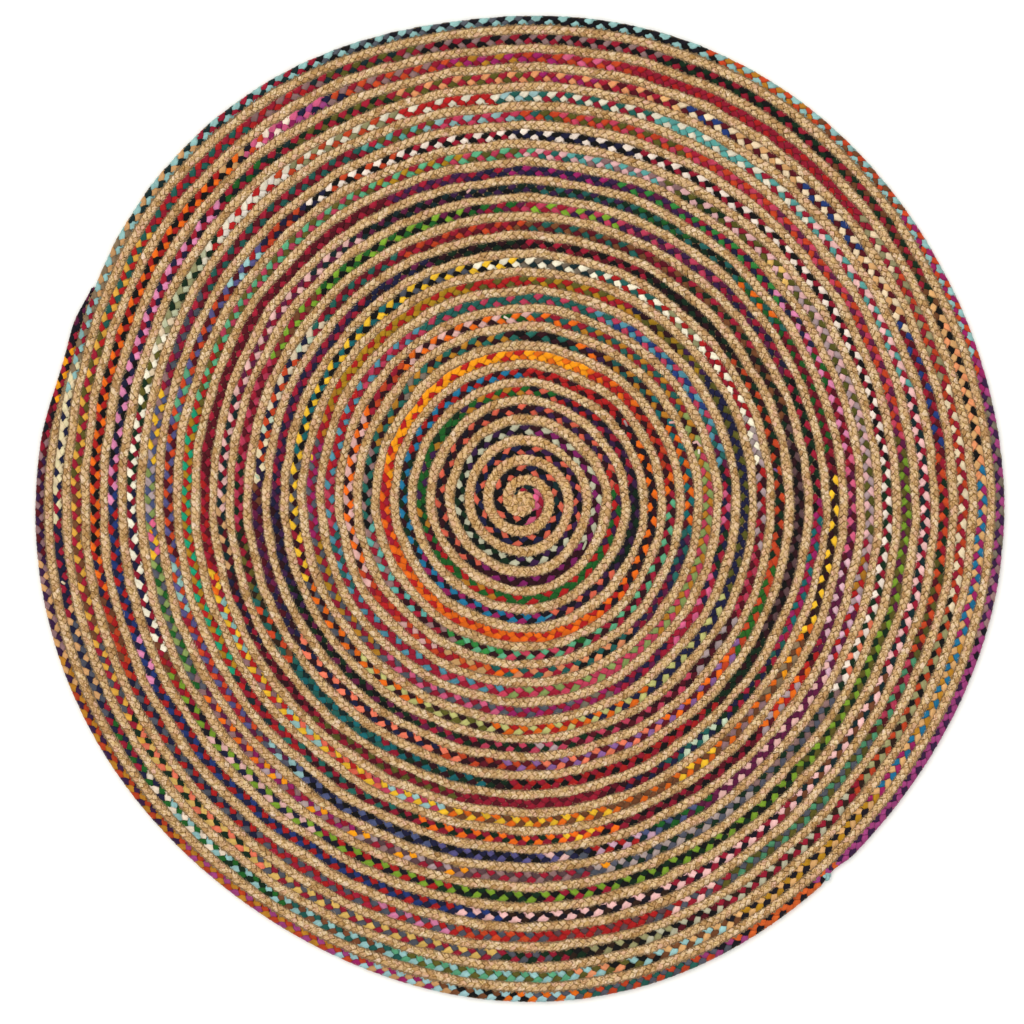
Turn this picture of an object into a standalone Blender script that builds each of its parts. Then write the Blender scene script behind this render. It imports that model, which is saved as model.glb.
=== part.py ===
"""A round jute rug, 1.5 m across, lying flat.

Two flat plaits run side by side in one spiral and are sewn edge to edge: one of jute, one of cotton
rag. The jute starts as a tight curl in the middle, the rag joins it after one turn, and both wind
clockwise outwards, seen from above. The jute stops a little before the rag does, so the last of
the rag draws in to the turn before it and ends thin. The rag's last part is a second length, set on
at a join.

Metres, +Z up. The origin is on the floor below the middle of the rug's box. Turns are counted along
the plaits, clockwise from +Y: turn 0 is where the jute, past its first curl, crosses +Y.
"""

import math

import bpy

COLLECTION_NAME = "round_jute_rug"

# Plaits. A lane is one jute row and one rag row, so a plait reaches a quarter lane to each side
PAIR_PITCH = 0.02863  # the usual width of a lane
HALF_ROW = 0.25
ROW = 0.5
PLAIT_HEIGHT = 0.009
CROWN_SHARE = 0.56  # width of a plait's top against its underside
SEAM_GAP = 0.0003  # between neighbouring plaits
CURL_ALLOWANCE = 0.000006  # a plait draws in by this over its radius, where it is tightly curled
RADIUS_AT_TURN_0 = 0.03271

# Rows are wound looser in the inner part of the rug and tighter further out
SWELL = 0.00324
SWELL_TURNS = 22.0
SWELL_CREST_TURN = 7.5

# The rug isn't truly round. Each row of this table lifts the rows of plait outwards in a number of
# crests round the rug, the first of them at crest_deg clockwise from +Y.
# (crests, lift, crest_deg, growth), where growth is the power of the share of the way to the rim
UNEVENNESS = (
    (2, 0.00243, -19.0, 0.0),
    (4, 0.00141, -9.0, 0.0),
    (1, 0.00525, -44.0, 3.0),
    (2, 0.00898, -9.5, 3.0),
    (3, 0.00360, -56.0, 3.0),
    (5, 0.00410, 28.0, 3.0),
)
SETTLING_TURNS = 3.0  # how soon the lifts that don't grow set in
RIM_TURNS = 25.0

# Places where the outer rows are sewn tighter, the last of them beside the plaits' ends
# (turn, depth, half_length), the turn counted round the rug and the half length in turns
DENTS = (
    (-0.020, 0.0070, 0.040),
    (0.790, 0.0080, 0.040),
)
DENT_GROWTH = 12.0

# How finely the turns are divided: from each turn on, this many straight stretches a turn. Each
# number divides the next, so that neighbouring rows bend in the same places.
# (from_turn, stretches)
STRETCHES = (
    (-2.0, 18),
    (5.0, 36),
    (24.6, 72),
    (24.75, 144),
)
SHORTEST_STRETCH = 0.3  # the least that an end leaves of a stretch

# The jute's first curl goes round a point of its own, beside the middle of the spiral
CURL_MIDDLE = (-0.0012, -0.0022)
# (turn, radius, width_share)
JUTE_CURL = (
    (-1.430, 0.0062, 0.38),
    (-1.350, 0.0070, 0.58),
    (-1.270, 0.0078, 0.75),
    (-1.190, 0.0081, 0.88),
    (-1.110, 0.0083, 0.90),
    (-1.025, 0.0085, 0.91),
    (-0.945, 0.0089, 0.92),
    (-0.860, 0.0094, 0.93),
    (-0.780, 0.0101, 0.94),
    (-0.695, 0.0111, 0.94),
    (-0.610, 0.0124, 0.92),
    (-0.540, 0.0142, 0.90),
)
# The rag's start, which is thin, round the middle of the spiral
# (turn, radius, width_share)
RAG_CURL = (
    (-0.1667, 0.0174, 0.18),
    (-0.1111, 0.0179, 0.34),
    (-0.0556, 0.0182, 0.50),
    (0.0000, 0.0184, 0.68),
    (0.0556, 0.0193, 0.76),
    (0.1111, 0.0207, 0.80),
    (0.1667, 0.0221, 0.84),
)
JUTE_SPIRAL_START = -0.4722
RAG_SPIRAL_START = 0.2222

# The outer ends, all in turns
JUTE_END = 24.7917
JOIN_TURN = 25.389
RAG_END = 25.8236
DRAW_IN_START = 25.7667  # the rag's turn at which the jute inside it begins to run out
DRAW_IN_LENGTH = 0.034
JUTE_RETREAT = 1.02  # the jute's loss of width for the rag's share of its move inwards
TAPER_LENGTH = 0.016
END_SHARE = 0.3
JOIN_LENGTH = 0.008
JOIN_SHARE = 0.62


def smooth_step(share):
    share = min(1.0, max(0.0, share))
    return share * share * (3.0 - 2.0 * share)


def spiral_radius(turn, lane):
    """Radius at an angle, given in turns, of the line that lies a number of pitches out."""
    radius = RADIUS_AT_TURN_0 + PAIR_PITCH * lane
    radius += SWELL * math.cos(2.0 * math.pi * (lane - SWELL_CREST_TURN) / SWELL_TURNS)
    settled = smooth_step(lane / SETTLING_TURNS)
    reach = max(0.0, lane / RIM_TURNS)
    for crests, lift, crest_deg, growth in UNEVENNESS:
        angle = crests * (2.0 * math.pi * turn - math.radians(crest_deg))
        radius += lift * settled * reach**growth * math.cos(angle)
    for middle, depth, half_length in DENTS:
        away = (turn - middle + 0.5) % 1.0 - 0.5
        radius -= depth * reach**DENT_GROWTH * math.exp(-((away / half_length) ** 2))
    return radius


def drawn_in(turn):
    """How far the rag has moved in past the end of the jute, from 0 to 1."""
    return smooth_step((turn - DRAW_IN_START) / DRAW_IN_LENGTH)


def half_width(turn, lane):
    width = spiral_radius(turn, lane + HALF_ROW) - spiral_radius(turn, lane - HALF_ROW)
    radius = spiral_radius(turn, lane)
    slope = math.atan2(PAIR_PITCH, 2.0 * math.pi * radius)
    return (width - SEAM_GAP) / 2.0 * math.cos(slope) - CURL_ALLOWANCE / radius


def turns_between(first, last):
    """The turns at which a plait bends, its two ends among them."""
    turns = [first]
    for row, (start, stretches) in enumerate(STRETCHES):
        stop = STRETCHES[row + 1][0] if row + 1 < len(STRETCHES) else last
        shortest = SHORTEST_STRETCH / stretches
        for step in range(math.floor(start * stretches), math.ceil(stop * stretches)):
            turn = step / stretches
            if turns[-1] + shortest < turn < last - shortest:
                turns.append(turn)
    return turns + [last]


def placed(turn, radius, around=(0.0, 0.0)):
    angle = 2.0 * math.pi * turn
    return around[0] + radius * math.sin(angle), around[1] + radius * math.cos(angle)


def curl_points(curl, around=(0.0, 0.0)):
    """(x, y, half width) for each row of a curl's table."""
    full = PAIR_PITCH * HALF_ROW - SEAM_GAP / 2.0
    return [(*placed(turn, radius, around), full * share) for turn, radius, share in curl]


def thinned(turn, lane, share):
    """A point of a plait thinned to a share of its width, its inner edge kept in place."""
    radius = spiral_radius(turn, lane - HALF_ROW * (1.0 - share))
    return (*placed(turn, radius), half_width(turn, lane) * share)


def jute_points():
    points = curl_points(JUTE_CURL, CURL_MIDDLE)
    for turn in turns_between(JUTE_SPIRAL_START, JUTE_END):
        share = 1.0 - JUTE_RETREAT * drawn_in(turn + 1.0)
        points.append(thinned(turn, turn, share))
    return points


def rag_points(first, last):
    points = []
    for turn in turns_between(first, last):
        lane = turn - ROW - ROW * drawn_in(turn)
        to_end = smooth_step((RAG_END - turn) / TAPER_LENGTH)
        to_join = smooth_step(abs(JOIN_TURN - turn) / JOIN_LENGTH)
        x, y, half = thinned(turn, lane, END_SHARE + (1.0 - END_SHARE) * to_end)
        points.append((x, y, half * (JOIN_SHARE + (1.0 - JOIN_SHARE) * to_join)))
    return points


def middle_of(points):
    """The middle of the box that holds a plait's edges."""
    left = min(x - half for x, _, half in points)
    right = max(x + half for x, _, half in points)
    front = min(y - half for _, y, half in points)
    back = max(y + half for _, y, half in points)
    return (left + right) / 2.0, (front + back) / 2.0


def new_collection():
    collection = bpy.data.collections.new(COLLECTION_NAME)
    bpy.context.scene.collection.children.link(collection)
    return collection


def plain_material(name, colour, roughness):
    material = bpy.data.materials.new(name)
    material.use_nodes = True
    shader = material.node_tree.nodes["Principled BSDF"]
    shader.inputs["Base Color"].default_value = (*colour, 1.0)
    shader.inputs["Roughness"].default_value = roughness
    shader.inputs["Metallic"].default_value = 0.0
    return material


def plait_section(collection):
    """The section of a plait of half width 1, standing on its underside."""
    curve = bpy.data.curves.new("plait_section", "CURVE")
    curve.dimensions = "2D"
    height = PLAIT_HEIGHT / (PAIR_PITCH * HALF_ROW)
    corners = ((-1.0, 0.0), (-CROWN_SHARE, height), (CROWN_SHARE, height), (1.0, 0.0))
    spline = curve.splines.new("POLY")
    spline.points.add(len(corners) - 1)
    for point, (across, up) in zip(spline.points, corners):
        point.co = (across, up, 0.0, 1.0)
    spline.use_cyclic_u = True
    guide = bpy.data.objects.new("plait_section", curve)
    guide.hide_render = True
    guide.display_type = "WIRE"
    collection.objects.link(guide)
    return guide


def plait(name, points, middle, section, material, collection):
    """One plait as a strip that follows its points, as wide at each as the point says."""
    curve = bpy.data.curves.new(name, "CURVE")
    curve.dimensions = "3D"
    curve.twist_mode = "Z_UP"
    curve.bevel_mode = "OBJECT"
    curve.bevel_object = section
    curve.use_fill_caps = True
    curve.use_radius = True
    spline = curve.splines.new("POLY")
    spline.points.add(len(points) - 1)
    for point, (x, y, half) in zip(spline.points, points):
        point.co = (x - middle[0], y - middle[1], 0.0, 1.0)
        point.radius = half
    curve.materials.append(material)
    strip = bpy.data.objects.new(name, curve)
    collection.objects.link(strip)
    return strip


def main():
    for obj in list(bpy.data.objects):
        bpy.data.objects.remove(obj, do_unlink=True)
    rug = new_collection()
    guides = bpy.data.collections.new("guides")
    bpy.context.scene.collection.children.link(guides)
    section = plait_section(guides)
    jute = plain_material("jute", (0.58, 0.40, 0.19), 0.9)
    rag = plain_material("cotton_rag", (0.16, 0.05, 0.08), 0.85)
    rim_rag = plain_material("cotton_rag_rim", (0.30, 0.10, 0.05), 0.85)

    join_radius = spiral_radius(JOIN_TURN, JOIN_TURN - ROW)
    join_gap = SEAM_GAP / (2.0 * math.pi * join_radius)
    rag_main = curl_points(RAG_CURL) + rag_points(RAG_SPIRAL_START, JOIN_TURN - join_gap)
    rag_rim = rag_points(JOIN_TURN, RAG_END)
    middle = middle_of(rag_main + rag_rim)

    plait("jute_braid", jute_points(), middle, section, jute, rug)
    plait("rag_braid", rag_main, middle, section, rag, rug)
    plait("rag_braid_rim", rag_rim, middle, section, rim_rag, rug)


main()
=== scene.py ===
"""The looks of the round jute rug: its two plaits as real three-strand plaits, dyed strip by strip.

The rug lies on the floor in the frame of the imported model, in metres, +Z up, its spiral running
clockwise outwards seen from above. Turns are counted along the plaits, clockwise from +Y. The
spiral follows the law of the model's solids, and its rows also shift and wander a little.
"""

import math

import bpy
import numpy as np
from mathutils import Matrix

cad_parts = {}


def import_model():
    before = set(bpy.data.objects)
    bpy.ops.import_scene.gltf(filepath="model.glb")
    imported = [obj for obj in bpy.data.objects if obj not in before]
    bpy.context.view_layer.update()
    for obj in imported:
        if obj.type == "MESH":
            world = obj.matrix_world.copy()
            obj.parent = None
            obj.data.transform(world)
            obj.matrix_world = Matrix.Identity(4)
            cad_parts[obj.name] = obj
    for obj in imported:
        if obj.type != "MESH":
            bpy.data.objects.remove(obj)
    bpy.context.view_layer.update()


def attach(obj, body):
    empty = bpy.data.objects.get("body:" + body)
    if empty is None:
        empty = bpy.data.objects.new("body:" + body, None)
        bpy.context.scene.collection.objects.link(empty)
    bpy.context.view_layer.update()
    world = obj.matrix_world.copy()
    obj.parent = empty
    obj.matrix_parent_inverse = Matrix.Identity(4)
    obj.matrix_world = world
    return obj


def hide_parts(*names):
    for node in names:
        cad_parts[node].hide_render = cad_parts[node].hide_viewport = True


# ---------------------------------------------------------------- the spiral, as in the solids

PAIR_PITCH = 0.02863  # a lane: one jute row and one rag row
HALF_ROW = 0.25
ROW = 0.5
PLAIT_HEIGHT = 0.009
SEAM_GAP = 0.0003
RADIUS_AT_TURN_0 = 0.03271
SWELL = 0.00324
SWELL_TURNS = 22.0
SWELL_CREST_TURN = 7.5
UNEVENNESS = (  # (crests, lift, crest_deg, growth)
    (2, 0.00243, -19.0, 0.0),
    (4, 0.00141, -9.0, 0.0),
    (1, 0.00525, -44.0, 3.0),
    (2, 0.00898, -9.5, 3.0),
    (3, 0.00360, -56.0, 3.0),
    (5, 0.00410, 28.0, 3.0),
)
SETTLING_TURNS = 3.0
RIM_TURNS = 25.0
DENTS = ((-0.020, 0.0070, 0.040), (0.790, 0.0080, 0.040))  # (turn, depth, half_length)
DENT_GROWTH = 12.0

# What the rows of the rug do beyond that law: some lie a little further out or in, (lane, shift),
# and all wander by sets of random waves, (waves, shortest, longest, deviation)
LANE_SHIFTS = (
    (0.0, 0.0),
    (1.0, 0.0014),
    (3.5, 0.0012),
    (6.5, -0.0013),
    (13.0, -0.0009),
    (14.5, 0.0005),
    (16.0, -0.0005),
    (18.0, -0.0016),
    (20.0, -0.0014),
    (22.0, 0.0),
    (24.5, 0.0),
)
WANDER = (
    (14, 0.090, 0.220, 0.00085),
    (22, 0.028, 0.060, 0.00055),
)
WANDER_SEED = 7
# The wander sets in between the first two of these lanes and fades between the last two
WANDER_LANES = (1.0, 2.5, 23.0, 25.5)
CURL_MIDDLE = (-0.0012, -0.0022)
# The very end of the jute, turned in to fill the middle of its curl
JUTE_TUCK = (  # (turn, radius, width_share)
    (-2.250, 0.0006, 0.30),
    (-2.050, 0.0010, 0.34),
    (-1.850, 0.0020, 0.38),
    (-1.640, 0.0038, 0.40),
)
JUTE_CURL = (  # (turn, radius, width_share)
    (-1.430, 0.0062, 0.38),
    (-1.350, 0.0070, 0.58),
    (-1.270, 0.0078, 0.75),
    (-1.190, 0.0081, 0.88),
    (-1.110, 0.0083, 0.90),
    (-1.025, 0.0085, 0.91),
    (-0.945, 0.0089, 0.92),
    (-0.860, 0.0094, 0.93),
    (-0.780, 0.0101, 0.94),
    (-0.695, 0.0111, 0.94),
    (-0.610, 0.0124, 0.92),
    (-0.540, 0.0142, 0.90),
)
RAG_CURL = (  # (turn, radius, width_share), its start a little longer and fuller than the solid's
    (-0.2300, 0.0170, 0.30),
    (-0.1667, 0.0173, 0.42),
    (-0.1111, 0.0178, 0.54),
    (-0.0556, 0.0182, 0.64),
    (0.0000, 0.0185, 0.72),
    (0.0556, 0.0193, 0.78),
    (0.1111, 0.0207, 0.80),
    (0.1667, 0.0221, 0.84),
)
JUTE_SPIRAL_START = -0.4722
RAG_SPIRAL_START = 0.2222
JUTE_END = 24.7917
JOIN_TURN = 25.389
RAG_END = 25.8236
DRAW_IN_START = 25.7667
DRAW_IN_LENGTH = 0.034
JUTE_RETREAT = 1.02
TAPER_LENGTH = 0.016
END_SHARE = 0.3
JOIN_LENGTH = 0.008
JOIN_SHARE = 0.62
JOIN_TUCK = 0.0025  # how far the rag's two lengths go under each other at the join
THINNEST_HALF = 0.0003  # the least half width of a plait

# ---------------------------------------------------------------- the plaits

ROUTE_STEPS_A_TURN = 360
FINE_STEP = 0.0005  # along a plait's middle line
STRANDS = 3
# How a strand's section stands in half a cycle of its plait, in which it crosses to one side of the
# plait and turns over the edge there: (degrees, across, level, roll). across is a share of the half
# width, level goes from -1 below to 1 above. The other half goes to the other side.
HALF_CYCLE = (
    (-10, -0.22, -0.3, 0),
    (20, 0.25, 1.0, 0),
    (54, 0.66, 1.0, -18),
    (88, 0.76, 0.0, -90),
)
TOP_SHARE = 0.125  # how far into half a cycle the middle of a strand's upper part lies
SIDES = 6
RAG_SEED, RIM_SEED, JUTE_SEED = 100, 200, 300
SLANT_DEG = 45.0  # of the strands against the plait's line
VISUAL_HEIGHT = 0.0092
THINNED_HEIGHT_POWER = 0.25  # how a plait's height follows its width where it is thinned
THINNED_LEAST = 0.25  # the least share of the full width that the height follows
FLOOR_CLEARANCE = 0.0002
OVERLAP = 0.00080  # a plait's strands press into the neighbouring rows by this much

# (turn, length of the plait's cycle)
RAG_CYCLES = (
    (2.0, 0.0431),
    (4.0, 0.0440),
    (6.0, 0.0418),
    (14.0, 0.0418),
    (17.0, 0.0403),
    (22.0, 0.0416),
)
JUTE_CYCLES = (
    (2.0, 0.0300),
    (6.0, 0.0318),
    (12.0, 0.0328),
    (16.0, 0.0305),
    (18.0, 0.0350),
    (22.0, 0.0342),
)
CYCLE_UNEVENNESS = 0.08  # deviation of the cycles' lengths, drawn anew after each uneven length
UNEVEN_LENGTH = 0.050

# Half width and half thickness of a strand, as shares of its plait's half width and height, and how
# much of its slant is left where it turns over at the plait's edge
RAG_STRAND = (0.75, 0.215, 0.80)
JUTE_STRAND = (0.71, 0.25, 1.0)
# Deviation of a strand's sections across the plait, upwards and, in degrees, in their roll
STRAND_STRAY = (0.00040, 0.00014, 5.0)
# (turn, how far the strands reach, as a share of the plait's half width). The jute is the bulkier
# of the two in the inner rows, and its first curl is pressed together
RAG_REACH = ((1.0, 1.03), (4.0, 1.08), (7.0, 1.13), (24.4, 1.13), (24.8, 1.00))
JUTE_REACH = ((-0.6, 1.28), (0.0, 1.08), (3.0, 0.97), (7.0, 0.92), (18.0, 0.92), (22.0, 0.88))

# The sheet of thread and fibre inside the rug: corners round its rim, and heights of its two faces
GROUND_STEPS = 240
GROUND_LEVELS = (0.0030, 0.0068)

# The pieces that the long plaits are divided into: (label, first_turn, last_turn)
RAG_PARTS = (("inner", -1.0, 14.3), ("middle", 14.3, 20.6), ("outer", 20.6, 30.0))
JUTE_PARTS = (("inner", -3.0, 13.3), ("middle", 13.3, 19.6), ("outer", 19.6, 30.0))
RIM_PART = (0.0, 30.0)
LAST_TURNS = (24.0, 25.0)  # those whose rows make the outline

# ---------------------------------------------------------------- colours

# Dyes of the rag strips, as sRGB
DYES = {
    "amber": (243, 160, 20),
    "aqua": (146, 196, 212),
    "black": (12, 11, 14),
    "blue": (28, 118, 172),
    "brown": (110, 68, 44),
    "copper": (208, 98, 44),
    "coral": (214, 102, 84),
    "cream": (230, 219, 198),
    "crimson": (150, 24, 54),
    "dark_brown": (44, 28, 20),
    "dark_green": (14, 42, 26),
    "dark_teal": (16, 42, 50),
    "deep_teal": (20, 104, 118),
    "denim": (72, 84, 136),
    "dusk": (92, 68, 78),
    "grass": (42, 102, 38),
    "green": (26, 92, 38),
    "grey": (120, 114, 108),
    "honey": (220, 168, 70),
    "ink": (20, 17, 32),
    "jade": (22, 168, 132),
    "lavender": (128, 92, 160),
    "leaf": (48, 134, 66),
    "lilac": (172, 156, 172),
    "lime": (122, 168, 50),
    "magenta": (148, 30, 106),
    "maroon": (84, 14, 32),
    "mauve": (140, 112, 122),
    "mint": (92, 178, 144),
    "mustard": (168, 130, 28),
    "navy": (26, 28, 66),
    "ochre": (180, 126, 38),
    "olive": (90, 88, 36),
    "orange": (236, 112, 22),
    "orchid": (154, 64, 138),
    "pale_lilac": (208, 172, 208),
    "pale_lime": (186, 192, 130),
    "pale_mint": (196, 220, 206),
    "pale_orchid": (214, 134, 190),
    "pale_pink": (230, 188, 198),
    "pale_sage": (184, 194, 176),
    "pale_yellow": (224, 190, 112),
    "pea": (136, 162, 98),
    "peach": (226, 152, 112),
    "periwinkle": (88, 86, 150),
    "pink": (212, 98, 150),
    "plum": (92, 24, 70),
    "purple": (56, 28, 76),
    "red": (172, 28, 32),
    "rose": (184, 62, 98),
    "royal_blue": (32, 58, 130),
    "rust": (190, 68, 34),
    "sage": (146, 150, 116),
    "salmon": (230, 122, 100),
    "sand": (212, 168, 122),
    "sea": (92, 172, 176),
    "sky": (84, 156, 192),
    "slate": (78, 84, 104),
    "taupe": (132, 116, 98),
    "teal": (32, 96, 96),
    "verdigris": (70, 140, 108),
    "violet": (124, 30, 108),
    "white": (242, 239, 237),
    "wine": (44, 12, 24),
    "yellow": (240, 196, 50),
}

# The strips of the rag plait, an entry for each turn from the middle out: degrees clockwise from
# the top at which strips are sewn on, and the three strands' dyes from there, with a dot for a strand
# whose strip goes on. So does a strip that is named again at the beginning of a turn
RAG_TURNS = (
    "-48 crimson dark_teal ink 6 pink . . 20 rose . . 50 pink pink crimson 100 . . black"
    " 125 . crimson . 165 rose black . 195 coral . ink",
    "0 coral black navy 36 . crimson . 50 . ink dark_teal 100 . black navy",
    "0 coral black purple 125 pale_sage . . 185 . . dark_green 300 . . purple",
    "0 pale_sage wine violet 134 wine . . 212 . coral ink",
    "0 wine coral purple 70 . . red 88 green purple . 122 . green . 190 . ochre . 216 . green ."
    " 240 . crimson wine 250 . ochre dark_green 265 . green purple 298 . ochre dark_green"
    " 306 . green . 322 . purple ochre 340 . red .",
    "0 green coral ink 22 red purple . 46 crimson . . 85 dark_green . . 128 coral . ."
    " 168 blue magenta . 240 . wine dark_green 292 . . red",
    "0 red wine red 42 . . ink 61 orange . . 127 . red . 146 . . orange 250 . . crimson 277 . . amber"
    " 295 amber . . 349 . . orange",
    "0 amber amber orange 30 red red . 50 . wine rust 75 . . orange 88 crimson . mint 155 green . ."
    " 165 rose . . 189 leaf . . 204 . . mauve 215 crimson . sea 235 . mauve . 260 black . teal"
    " 289 wine ochre . 307 . grey . 316 ochre . . 326 . wine .",
    "0 black wine teal 19 orange . purple 30 ochre . teal 50 . . deep_teal 62 orange maroon ."
    " 100 teal plum navy 120 crimson . . 139 peach black teal 162 . crimson . 182 . orange ."
    " 188 red copper sand 205 . crimson rust 210 pale_pink . . 229 red . . 244 pale_pink wine orange"
    " 301 crimson . rust 318 orange . pale_pink 350 . green .",
    "0 orange teal crimson 19 ochre . . 60 . pea wine 71 . . rose 139 rose . . 160 . . crimson"
    " 187 . sky . 210 crimson . . 240 . . teal 261 . . rose 275 . . red 300 . . rose 329 teal teal .",
    "0 teal teal rose 20 . sky . 30 royal_blue . . 67 teal . plum 80 dark_green crimson navy"
    " 90 pink . . 98 dark_green . . 112 pink . . 120 . . crimson 136 navy . plum 153 magenta . grey"
    " 162 . . slate 184 . pink . 192 crimson . . 221 . ochre . 240 . mustard . 259 . magenta ."
    " 285 . red ochre 298 mustard . mustard 345 olive . red",
    "0 olive red mustard 26 crimson ochre navy 32 mustard wine olive 46 . purple . 57 navy navy ."
    " 111 . . pale_lime 144 . orange . 165 red . . 187 wine olive . 207 . orange . 225 . . slate"
    " 249 . yellow crimson 260 . . slate 280 black . deep_teal 326 . . slate 345 . . white",
    "0 dark_teal grey white 18 teal red . 38 sage . . 50 crimson . . 68 . lilac . 75 lilac . ."
    " 81 . wine red 90 . crimson maroon 105 rose . . 120 lilac wine . 138 rose . . 157 . dark_green ."
    " 168 . . lilac 175 . . wine 192 crimson . plum 207 black . . 240 . . purple 252 navy wine ."
    " 270 . plum crimson 319 . wine navy 328 . plum black 340 dark_green wine .",
    "0 maroon crimson black 30 dark_green wine . 52 . . rust 100 . rust . 107 grass . grass"
    " 120 . . lavender 130 orange maroon . 150 salmon . . 180 rust . . 184 . . wine 192 . salmon ."
    " 199 navy . . 240 . purple maroon 252 plum . . 270 brown . cream 277 navy rust ."
    " 283 . . pale_mint 287 . . cream 303 . pale_mint . 309 crimson teal maroon 334 . rust .",
    "0 brown teal maroon 26 . crimson . 32 . . dark_green 57 . wine . 76 dusk . black"
    " 120 dark_green . dark_green 139 red crimson black 184 dark_green wine deep_teal"
    " 206 . crimson teal 210 deep_teal dark_teal . 236 rust brown . 240 . dark_brown ."
    " 252 olive . crimson 264 dark_green rose . 282 maroon . . 300 lime brown . 315 . black green"
    " 340 . . plum 352 green crimson .",
    "0 rose crimson lime 9 . purple . 18 . . plum 45 crimson navy . 64 . dark_green black"
    " 90 . magenta deep_teal 112 . . teal 120 . navy dark_green 138 pale_mint . teal"
    " 151 crimson . wine 162 . maroon crimson 190 . . olive 222 . . wine 240 . navy ."
    " 255 maroon dark_teal sand 270 pale_pink . crimson 290 . plum . 315 . . dark_teal 330 black . ."
    " 345 . purple .",
    "0 dark_green purple teal 22 . green . 32 . black . 45 green orange . 55 . crimson maroon"
    " 84 wine yellow dark_brown 115 orange brown taupe 122 amber . . 128 orange . mauve 140 . . yellow"
    " 150 . . brown 162 . . yellow 196 aqua rose . 208 coral red . 220 . aqua . 228 red mauve ."
    " 240 . aqua . 252 crimson orange . 257 . red maroon 275 . maroon . 335 . plum purple 350 . navy .",
    "0 magenta navy purple 17 plum leaf . 32 crimson . navy 52 pale_orchid maroon . 60 . crimson green"
    " 67 . . maroon 84 pink plum . 101 pale_lilac . plum 117 crimson black maroon 120 red orange lilac"
    " 133 maroon crimson black 165 orange . yellow 172 . . dark_green 200 wine . teal"
    " 225 red . dark_teal 238 . jade mustard 285 . olive mint 300 rose . . 335 crimson mustard ."
    " 350 rose olive .",
    "0 rose pale_pink teal 8 sea . mauve 25 olive . dark_green 33 . . crimson 43 . . pale_yellow"
    " 50 . . lilac 98 crimson ochre . 105 red pale_lilac plum 120 pale_pink plum ."
    " 150 green denim dark_teal 161 pale_lilac red black 170 navy slate pale_pink"
    " 174 . periwinkle black 195 . denim . 220 aqua slate plum 230 rust periwinkle crimson"
    " 250 . . aqua 257 . . maroon 280 . . mint 290 . . maroon 308 aqua . red 315 navy rust maroon"
    " 322 . black white 330 rust . . 342 crimson . .",
    "0 navy black white 20 crimson . . 85 . dark_green . 110 salmon . . 120 mauve . slate"
    " 143 lilac . . 166 . amber dusk 168 . slate . 172 crimson mauve . 190 amber lilac ."
    " 194 crimson . . 198 amber mauve . 202 crimson lilac . 206 amber magenta mauve"
    " 210 crimson . lilac 214 amber . mauve 218 crimson . lilac 222 amber . mauve 228 orange plum ."
    " 240 slate green pea 260 . yellow pink 265 denim pea lilac 276 . yellow mauve"
    " 288 crimson plum slate 300 . maroon teal 335 . sea olive 345 . aqua rose",
    "0 teal rust olive 8 rose . . 24 . . crimson 38 . . plum 80 . olive . 85 lime . ."
    " 105 . . dark_green 135 . black . 165 . . crimson 175 . . dark_green 190 . red ink"
    " 207 . . crimson 210 . navy pale_pink 231 . ink crimson 240 . red brown 247 crimson white navy"
    " 270 . . dark_green 286 olive . cream 295 sage pale_sage dark_green 309 white red white"
    " 322 . rust sage 340 . red red 355 . teal aqua",
    "0 white teal crimson 18 . sea sea 32 . . crimson 48 pale_pink . . 75 . dark_teal . 112 . . brown"
    " 138 . crimson ink 160 . dark_brown . 183 . royal_blue navy 192 red . . 246 pale_orchid . ."
    " 253 red . . 272 pale_orchid crimson . 276 . black . 290 . crimson . 304 . . ink"
    " 316 green . dark_teal 325 dark_green . olive 345 peach . .",
    "0 peach crimson magenta 8 . . maroon 20 sand cream . 25 royal_blue . . 32 sand . ."
    " 43 royal_blue . . 56 sand . . 66 royal_blue crimson . 85 rust . dark_green 98 . olive maroon"
    " 113 verdigris rose . 122 . olive slate 153 crimson pale_pink . 160 red dusk red 176 . slate rust"
    " 188 . . pale_orchid 198 . . crimson 215 . . navy 245 . rust brown 255 . navy orange"
    " 262 . black . 314 . . sand 320 orange ink rust 323 pink white magenta 328 . orchid navy"
    " 335 mauve rust crimson 350 magenta ochre .",
    "0 magenta rust crimson 7 pink . . 15 crimson red . 50 . sage cream 56 . . rust 75 . cream ."
    " 105 black sage . 120 dark_brown . . 130 . crimson pale_sage 155 maroon black ."
    " 163 sage . dark_brown 174 dark_green crimson slate 185 pale_yellow . . 215 . salmon dark_green"
    " 240 honey crimson slate 250 . . brown 270 . . olive 290 . red teal 308 crimson . . 322 . . mauve"
    " 333 . dark_teal olive 345 . mauve black",
    "0 crimson mauve black 17 . dark_green . 40 . . brown 65 sand black peach 85 . blue magenta"
    " 105 . . ochre 120 . . magenta 130 . mustard ink 152 . brown aqua 165 black olive peach"
    " 172 aqua . mint 195 . teal brown 210 . green dark_green 218 . . white 232 navy . crimson"
    " 243 . slate sand 255 . crimson navy 265 . . cream 272 . cream . 285 aqua taupe crimson"
    " 293 . . sand 305 . dark_teal . 316 . . crimson 333 . black slate 340 . ink .",
    "0 aqua ink black 22 . rust ochre 35 . . brown 50 . . magenta 75 orchid purple grey 95 . . mauve"
    " 105 . ink orchid 112 . purple . 141 copper ink copper 150 . . orchid 157 slate rust teal"
    " 172 . orange aqua 182 black brown . 190 sand magenta . 201 rust orchid ochre 225 . purple ."
    " 250 sand . mauve 265 maroon . . 276 . crimson ink 283 amber . . 291 ink plum .",
)
RAG_START_DYES = ("crimson", "crimson", "ink")
STRIP_SPREAD_TURNS = 0.006  # how far apart the three strands change their strips
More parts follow.
